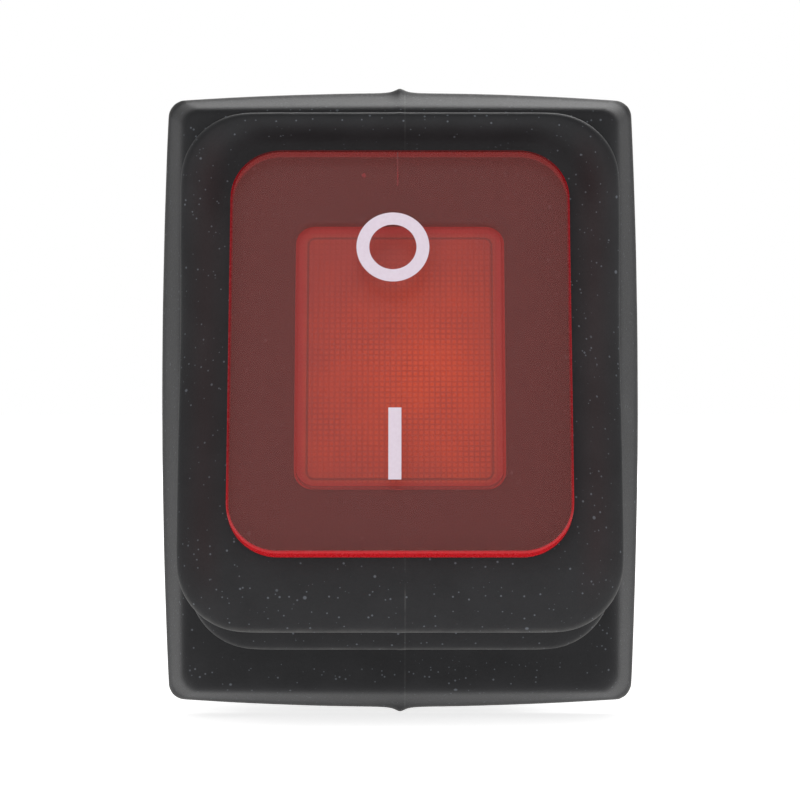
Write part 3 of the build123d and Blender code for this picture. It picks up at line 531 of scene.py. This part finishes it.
def milky_red():
    """Milky red plastic: the window face has a painted orange shine, brightest in a painted pool of light, with
    fine cross lines and redder rims.
    """
    deep, orange, rib_red = (0.52, 0.04, 0.02), (1.0, 0.095, 0.006), (0.26, 0.015, 0.015)
    rim_red, line_red, body_red = (0.62, 0.01, 0.015), (0.12, 0.01, 0.01), (0.36, 0.05, 0.022)
    pin_shade, dark = (0.05, 0.008, 0.006), (0.0, 0.0, 0.0)
    material, tree, surface, place = new_finish("red_plastic")
    x, y, z = level(tree, place)
    lines = []
    for along in (x, z):
        wave = reckon(tree, "SINE", times(tree, along, 2 * pi / GRID_PITCH))
        lines.append(rise(tree, wave, 0.0, 0.9))
    behind = rise(tree, y, -9.0, -6.0)
    grid = times(tree, reckon(tree, "MAXIMUM", *lines), reckon(tree, "SUBTRACT", 1.0, behind))
    patch = mottle(tree, place, 3.5, 2.0)
    # Painted light: the window face goes from deep red to orange towards a spot near its middle, with random
    # patches.
    from_glow = far(tree, reckon(tree, "SUBTRACT", x, GLOW_X), reckon(tree, "SUBTRACT", z, GLOW_Z))
    glow = rise(tree, from_glow, 9.5, 0.5)
    bright = reckon(tree, "MULTIPLY_ADD", reckon(tree, "SUBTRACT", patch, 0.5), 0.6, glow)
    tone = between(tree, bright, deep, orange)
    uneven = between(tree, mottle(tree, place, 2.2, 2.0), 0.1, 0.7)
    tone = cover(tree, times(tree, grid, uneven), tone, rib_red)
    z_window = reckon(tree, "ADD", z, PLATE_DROP)
    rim = rim_distance(tree, x, z_window, WINDOW_HALF_WIDTH, WINDOW_HALF_HEIGHT, WINDOW_CORNER)
    tone = cover(tree, times(tree, rise(tree, rim, -0.55, -0.2), 0.7), tone, rim_red)
    inner_line = reckon(tree, "LESS_THAN", off(tree, rim, -LINE_INSET), LINE_HALF)
    tone = cover(tree, times(tree, inner_line, 0.55), tone, line_red)
    tone = cover(tree, behind, tone, body_red)
    on_pin = reckon(tree, "GREATER_THAN", reckon(tree, "ABSOLUTE", x), PIN_START)
    pin_rim = times(tree, rise(tree, far(tree, y, z), 0.5, 1.35), on_pin)
    tone = cover(tree, times(tree, pin_rim, 0.9), tone, pin_shade)
    lead_to(tree, tone, surface, "Base Color")
    # Painted light: the window face is given emission in its own tone, and there is none behind it.
    lead_to(tree, cover(tree, behind, tone, dark), surface, "Emission Color")
    lead_to(tree, between(tree, patch, 0.3, 0.45), surface, "Roughness")
    surface.inputs["Emission Strength"].default_value = 0.42
    surface.inputs["Subsurface Weight"].default_value = 0.25
    surface.inputs["Subsurface Radius"].default_value = (1.0, 0.2, 0.1)
    surface.inputs["Subsurface Scale"].default_value = 0.8 * MM
    grain(tree, surface, grid, 0.02, 0.7, rounding=0.1)
    return material


refinish("rocker_body", milky_red())

# Housing.
# The black nylon moulding: the box that passes through the panel, the two snap-in arms with their
# teeth, the gussets and the barrier walls between the tabs. It has a satin skin with dust and scuffs.

PAD_SIDE, PAD_START, PAD_END = 10.8, 0.2, 1.4
# The radius, in millimetres, of the rounding that finds the edges given a painted highlight.
PAINTED_EDGE_HIGHLIGHT_RADIUS = 0.16


def black_nylon():
    """Satin black nylon: fine grain, flow marks, painted highlights on the edges and side pads, dust and a few
    pale scuffs.
    """
    darkest, black = (0.0035, 0.0032, 0.005), (0.0085, 0.008, 0.011)
    scuff_grey, painted_pad_highlight_grey = (0.05, 0.05, 0.055), (0.065, 0.065, 0.068)
    painted_edge_highlight_grey, dust_grey = (0.075, 0.075, 0.08), (0.18, 0.2, 0.23)
    material, tree, surface, place = new_finish("black_nylon")
    fine = mottle(tree, place, 0.12, 3.0)
    streaks = {"Vector": place, "Scale": 180.0, "Detail": 5.0, "Distortion": 1.2}
    flow = put(tree, "ShaderNodeTexNoise", streaks).outputs["Fac"]
    tone = between(tree, flow, darkest, black)
    scuff = rise(tree, mottle(tree, place, 1.4, 8.0, 0.8), 0.62, 0.75)
    tone = cover(tree, times(tree, scuff, 0.3), tone, scuff_grey)
    across, along, _ = put(tree, "ShaderNodeSeparateXYZ", {0: place}).outputs
    # Painted highlight: the side pads by the flange are lighter grey, standing for their lit faces.
    pads = reckon(tree, "GREATER_THAN", reckon(tree, "ABSOLUTE", across), PAD_SIDE * MM)
    pads = times(tree, pads, reckon(tree, "GREATER_THAN", along, PAD_START * MM))
    pads = times(tree, pads, reckon(tree, "LESS_THAN", along, PAD_END * MM))
    tone = cover(tree, times(tree, pads, 0.9), tone, painted_pad_highlight_grey)
    # Painted highlight: along the edges, where the rounded normal turns from the true one, the tone goes
    # lighter grey, more so where the scuff pattern is high.
    soft_edge = put(tree, "ShaderNodeBevel", {"Radius": PAINTED_EDGE_HIGHLIGHT_RADIUS * MM}, samples=6).outputs[0]
    sharp = put(tree, "ShaderNodeNewGeometry").outputs["Normal"]
    facing = put(tree, "ShaderNodeVectorMath", {0: soft_edge, 1: sharp}, operation="DOT_PRODUCT")
    edge = times(tree, rise(tree, facing.outputs["Value"], 0.985, 0.8), between(tree, scuff, 0.35, 0.8))
    tone = cover(tree, edge, tone, painted_edge_highlight_grey)
    dust = dusty(tree, place, (1.1, 0.16, 0.3), (0.5, 0.08, 0.4))
    tone = cover(tree, times(tree, dust, 0.7), tone, dust_grey)
    lead_to(tree, tone, surface, "Base Color")
    lead_to(tree, between(tree, scuff, between(tree, flow, 0.3, 0.48), 0.6), surface, "Roughness")
    surface.inputs["Specular IOR Level"].default_value = 0.3
    skin = reckon(tree, "ADD", fine, times(tree, flow, 2.0))
    grain(tree, surface, skin, 0.012, 0.5, rounding=0.18)
    return material


refinish("housing", black_nylon())

# Terminals and contacts.
# Brass strip, stamped and tinned, with bare brass shoulders where each tab leaves the housing. The
# see-saw blades are copper alloy, and the contacts are silver rivets.

SHOULDER_END = 15.25
BARE_FROM, BARE_TO = SHOULDER_END + 0.45, SHOULDER_END + 0.15


def tinned_brass():
    """Bright tin with fine rolling lines, bare brass on the shoulders and inside the housing."""
    dull_tin, bright_tin, stain_grey = (0.62, 0.62, 0.6), (0.86, 0.86, 0.85), (0.17, 0.17, 0.17)
    brown_brass, yellow_brass = (0.78, 0.36, 0.1), (0.8, 0.6, 0.2)
    material, tree, surface, place = new_finish("tinned_brass")
    along = put(tree, "ShaderNodeMapping", {"Vector": place, "Scale": (9000.0, 500.0, 9000.0)}).outputs[0]
    lines = put(tree, "ShaderNodeTexNoise", {"Vector": along, "Scale": 1.0, "Detail": 4.0}).outputs["Fac"]
    blotch = mottle(tree, place, 0.8, 4.0)
    stain = rise(tree, mottle(tree, place, 0.5, 5.0, 0.75), 0.55, 0.72)
    tin = cover(tree, times(tree, stain, 0.7), between(tree, blotch, dull_tin, bright_tin), stain_grey)
    y = put(tree, "ShaderNodeSeparateXYZ", {0: place}).outputs[1]
    wander = reckon(tree, "MULTIPLY_ADD", blotch, 0.5 * MM, y)
    bare = rise(tree, wander, BARE_FROM * MM, BARE_TO * MM)
    tone = cover(tree, bare, tin, between(tree, blotch, brown_brass, yellow_brass))
    lead_to(tree, tone, surface, "Base Color")
    lead_to(tree, between(tree, lines, 0.4, 0.62), surface, "Roughness")
    surface.inputs["Metallic"].default_value = 0.8
    grain(tree, surface, reckon(tree, "ADD", lines, blotch), 0.012, 0.8, rounding=0.1)
    return material


def bare_metal(name, tones, patch, rough, skin):
    """Bare metal, from one tone to another in patches, with a fine raised skin."""
    material, tree, surface, place = new_finish(name)
    uneven = mottle(tree, place, *patch)
    lead_to(tree, between(tree, uneven, *tones), surface, "Base Color")
    lead_to(tree, between(tree, uneven, *rough), surface, "Roughness")
    surface.inputs["Metallic"].default_value = 1.0
    raised = uneven if skin[0] is None else mottle(tree, place, skin[0])
    grain(tree, surface, raised, *skin[1:])
    return material


def copper_alloy():
    """Rolled copper alloy, a little tarnished."""
    copper, tarnished = (0.75, 0.4, 0.24), (0.5, 0.25, 0.15)
    return bare_metal("copper_alloy", (copper, tarnished), (1.6, 5.0), (0.25, 0.45), (0.15, 0.004, 0.5))


def contact_silver():
    """Silver with a faint grey bloom."""
    silver, bloom = (0.82, 0.8, 0.77), (0.6, 0.59, 0.57)
    return bare_metal("contact_silver", (silver, bloom), (0.4, 4.0), (0.25, 0.4), (None, 0.004, 0.4))


tin, alloy, silver = tinned_brass(), copper_alloy(), contact_silver()
for side in ("left", "right"):
    refinish(f"common_terminal_{side}", tin)
    refinish(f"load_terminal_{side}", tin)
    refinish(f"contact_blade_{side}", alloy)
    refinish(f"moving_contact_{side}", silver)
    refinish(f"fixed_contact_{side}", silver)

# Plungers.
# Sliding pins of pale nylon, turned or moulded, which stand in the rocker's tubes and press on the
# blades with their round noses.


def pale_nylon():
    """Natural nylon, slightly yellow and waxy."""
    yellow, pale = (0.74, 0.7, 0.6), (0.82, 0.79, 0.71)
    material, tree, surface, place = new_finish("pale_nylon")
    wax = mottle(tree, place, 0.9, 3.0)
    lead_to(tree, between(tree, wax, yellow, pale), surface, "Base Color")
    lead_to(tree, between(tree, wax, 0.35, 0.5), surface, "Roughness")
    grain(tree, surface, mottle(tree, place, 0.12), 0.004, 0.5)
    return material


waxy = pale_nylon()
for side in ("left", "right"):
    refinish(f"plunger_{side}", waxy)

# Coil springs.
# Round spring wire: two springs press the plungers on the blades, and two weak ones carry the
# lamp's current from its leads to the load terminals. One tree winds them all.

WIRE = 0.13
STEPS_A_TURN, WIRE_SIDES = 28, 10
POLE_X, LAMP_X = 5.5, 2.3
BLADE_PIVOT, BLADE_THICKNESS, NOSE_GAP, NOSE_RADIUS, PLUNGER_LENGTH = 8.55, 0.5, 0.2, 0.95, 6.3
PLUNGER_REAR = BLADE_PIVOT - BLADE_THICKNESS - NOSE_GAP - NOSE_RADIUS - PLUNGER_LENGTH
SPRING_ROOM, START_ROOM, END_ROOM = 3.4, 0.14, 0.17
PLUNGER_COIL, PLUNGER_TURNS = 0.85, 5
LAMP_COIL, LAMP_TURNS = 0.55, 7
SHELF_REAR, DISC_END, SEAT_ROOM = 2.5, 0.2, 0.25
ARM_FRONT, FOOT_ROOM = 4.4, 0.27
LAMP_SEAT_Z, LAMP_FOOT_Z = -6.2, -6.9


def spring_winder(steel):
    """A tree that winds wire round an upright axis, with its sizes as inputs."""
    tree = bpy.data.node_groups.new("spring_winder", "GeometryNodeTree")
    face = tree.interface
    face.new_socket("Geometry", in_out="INPUT", socket_type="NodeSocketGeometry")
    sizes = {}
    for name in ("Radius", "Wire", "Length", "Turns"):
        sizes[name] = face.new_socket(name, in_out="INPUT", socket_type="NodeSocketFloat").identifier
    face.new_socket("Geometry", in_out="OUTPUT", socket_type="NodeSocketGeometry")
    given = tree.nodes.new("NodeGroupInput").outputs
    spiral = put(
        tree,
        "GeometryNodeCurveSpiral",
        {
            "Resolution": STEPS_A_TURN,
            "Rotations": given["Turns"],
            "Start Radius": given["Radius"],
            "End Radius": given["Radius"],
            "Height": given["Length"],
        },
    )
    section = put(tree, "GeometryNodeCurvePrimitiveCircle", {"Resolution": WIRE_SIDES, "Radius": given["Wire"]})
    wire = put(
        tree,
        "GeometryNodeCurveToMesh",
        {"Curve": spiral.outputs[0], "Profile Curve": section.outputs[0], "Fill Caps": True},
    )
    real = put(tree, "GeometryNodeRealizeInstances", {0: wire.outputs[0]})
    coated = put(tree, "GeometryNodeSetMaterial", {"Geometry": real.outputs[0], "Material": steel})
    tree.links.new(coated.outputs[0], tree.nodes.new("NodeGroupOutput").inputs[0])
    return tree, sizes


def spring_steel():
    """Drawn spring wire with fine lengthwise marks."""
    dark_steel, light_steel = (0.42, 0.42, 0.43), (0.66, 0.66, 0.67)
    return bare_metal("spring_steel", (dark_steel, light_steel), (0.1, 4.0), (0.25, 0.45), (None, 0.003, 0.5))


winder, winder_inputs = spring_winder(spring_steel())


def wound_spring(name, start, end, radius, turns):
    """A spring between two points in millimetres, as a plain mesh."""
    piece = bpy.data.objects.new(name, bpy.data.meshes.new(name))
    bpy.context.collection.objects.link(piece)
    winding = piece.modifiers.new("winding", "NODES")
    winding.node_group = winder
    run = Vector(end) - Vector(start)
    given = {"Radius": radius * MM, "Wire": WIRE * MM, "Length": run.length * MM, "Turns": float(turns)}
    for size, value in given.items():
        winding[winder_inputs[size]] = value
    settle(piece)
    lean = Vector((0, 0, 1)).rotation_difference(run).to_matrix().to_4x4()
    piece.data.transform(Matrix.Translation(Vector(start) * MM) @ lean)
    return piece


def rest(point):
    """A point of the level rocker, at its rest position."""
    return Matrix.Rotation(radians(-TILT), 3, "X") @ Vector(point)


for side, sign in (("left", -1), ("right", 1)):
    start = rest((sign * POLE_X, PLUNGER_REAR - SPRING_ROOM + START_ROOM, 0))
    end = rest((sign * POLE_X, PLUNGER_REAR - END_ROOM, 0))
    spring = wound_spring(f"coil_plunger_{side}", start, end, PLUNGER_COIL, PLUNGER_TURNS)
    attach(spring, "rocker")
    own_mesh(spring)
    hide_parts(f"plunger_spring_{side}")

for side, sign in (("left", -1), ("right", 1)):
    seat = rest((sign * LAMP_X, -SHELF_REAR + DISC_END + SEAT_ROOM, LAMP_SEAT_Z))
    foot = Vector((sign * LAMP_X, ARM_FRONT - FOOT_ROOM, LAMP_FOOT_Z))
    spring = wound_spring(f"coil_lamp_{side}", seat, foot, LAMP_COIL, LAMP_TURNS)
    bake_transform(spring)
    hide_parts(f"lamp_spring_{side}")

# Neon lamp.
# A small glass lamp with two nickel rods, its series resistor and their leads, in the rocker's
# chamber behind the window.

BAND_HALF, COAT_HALF = 0.2, 2.85


def lamp_glass():
    """Clear glass, slightly grey at the pinch."""
    grey, clear = (0.86, 0.9, 0.9), (0.95, 0.97, 0.97)
    material, tree, surface, place = new_finish("lamp_glass")
    ripple = mottle(tree, place, 1.5, 2.0)
    lead_to(tree, between(tree, ripple, grey, clear), surface, "Base Color")
    lead_to(tree, between(tree, ripple, 0.02, 0.08), surface, "Roughness")
    surface.inputs["Alpha"].default_value = 0.3
    surface.inputs["IOR"].default_value = 1.5
    grain(tree, surface, ripple, 0.01, 0.3)
    return material


def nickel_wire():
    """Drawn nickel wire, dull grey."""
    dull_nickel, nickel = (0.5, 0.48, 0.45), (0.66, 0.64, 0.6)
    return bare_metal("nickel_wire", (dull_nickel, nickel), (0.2, 4.0), (0.3, 0.5), (None, 0.004, 0.5))


def resistor_paint():
    """Tan dipped coat with four generic colour bands round the middle, and bare lead at its ends."""
    thin_coat, thick_coat, bare_lead = (0.58, 0.44, 0.27), (0.68, 0.54, 0.35), (0.6, 0.58, 0.55)
    brown, black, yellow, gold = (0.25, 0.08, 0.02), (0.02, 0.02, 0.02), (0.7, 0.5, 0.03), (0.55, 0.38, 0.1)
    material, tree, surface, place = new_finish("resistor_paint")
    z = level(tree, place)[2]
    coat = mottle(tree, place, 0.6, 3.0)
    tone = between(tree, coat, thin_coat, thick_coat)
    for centre, colour in ((1.7, brown), (0.8, black), (-0.1, yellow), (-1.5, gold)):
        band = reckon(tree, "LESS_THAN", off(tree, z, centre), BAND_HALF)
        tone = cover(tree, band, tone, colour)
    bare = reckon(tree, "GREATER_THAN", reckon(tree, "ABSOLUTE", z), COAT_HALF)
    lead_to(tree, cover(tree, bare, tone, bare_lead), surface, "Base Color")
    lead_to(tree, bare, surface, "Metallic")
    lead_to(tree, between(tree, coat, 0.3, 0.45), surface, "Roughness")
    grain(tree, surface, coat, 0.01, 0.4)
    return material


refinish("lamp_glass", lamp_glass())
lead = nickel_wire()
refinish("lamp_electrode_left", lead)
refinish("lamp_electrode_right", lead)
refinish("lamp_resistor", resistor_paint())

# Floor, lights and camera.
# A plain pale floor just under the switch, large soft lights and a camera straight in front.

FLOOR_HALF, FLOOR_GAP = 4.0, 0.05
ROOM_SEEN, ROOM_LIGHT = 1.0, 0.3
LENS, SENSOR, CAMERA_AWAY = 148.0, 36.0, 0.205

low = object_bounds()[0].z - FLOOR_GAP * MM
floor_mesh = bpy.data.meshes.new("floor")
corners = [(x * FLOOR_HALF, y * FLOOR_HALF, low) for x, y in ((-1, -1), (1, -1), (1, 1), (-1, 1))]
floor_mesh.from_pydata(corners, [], [(0, 1, 2, 3)])
floor = bpy.data.objects.new("floor", floor_mesh)
bpy.context.collection.objects.link(floor)
floor_finish, floor_tree, floor_surface, floor_place = new_finish("pale_floor")
floor_tone = between(floor_tree, mottle(floor_tree, floor_place, 60.0), (0.9, 0.9, 0.9), (0.93, 0.93, 0.93))
lead_to(floor_tree, floor_tone, floor_surface, "Base Color")
floor_surface.inputs["Roughness"].default_value = 0.8
floor_surface.inputs["Specular IOR Level"].default_value = 0.1
floor_surface.inputs["Emission Color"].default_value = (1, 1, 1, 1)
floor_surface.inputs["Emission Strength"].default_value = 0.75
floor_mesh.materials.append(floor_finish)


def soft_light(name, place, size, watts, aim=(0, 0, 0)):
    """A square soft box aimed at the switch."""
    lamp = bpy.data.lights.new(name, "AREA")
    lamp.size = size
    lamp.energy = watts
    box = bpy.data.objects.new(name, lamp)
    box.location = place
    box.rotation_euler = (Vector(aim) - Vector(place)).to_track_quat("-Z", "Y").to_euler()
    bpy.context.collection.objects.link(box)


soft_light("key", (-0.12, -0.5, 0.36), 0.5, 1.35)
soft_light("fill", (0.5, -0.3, 0.2), 0.35, 0.5)
soft_light("back", (0.1, 0.6, 0.45), 0.4, 2.2)

world = bpy.data.worlds.new("white_room")
bpy.context.scene.world = world
world.use_nodes = True
sky = world.node_tree
sky.nodes.clear()
seen = put(sky, "ShaderNodeLightPath").outputs["Is Camera Ray"]
white = put(sky, "ShaderNodeBackground", {"Color": (1, 1, 1, 1), "Strength": ROOM_SEEN})
light = put(sky, "ShaderNodeBackground", {"Color": (1, 1, 1, 1), "Strength": ROOM_LIGHT})
either = put(sky, "ShaderNodeMixShader", {0: seen, 1: light.outputs[0], 2: white.outputs[0]})
sky.links.new(either.outputs[0], sky.nodes.new("ShaderNodeOutputWorld").inputs[0])

lens = bpy.data.cameras.new("camera")
lens.lens = LENS
lens.sensor_width = SENSOR
lens.clip_start, lens.clip_end = 0.01, 20.0
camera = bpy.data.objects.new("camera", lens)
camera.location = (0, -CAMERA_AWAY, 0)
camera.rotation_euler = (pi / 2, 0, 0)
bpy.context.collection.objects.link(camera)
bpy.context.scene.camera = camera
bpy.context.scene.view_settings.view_transform = "Standard"
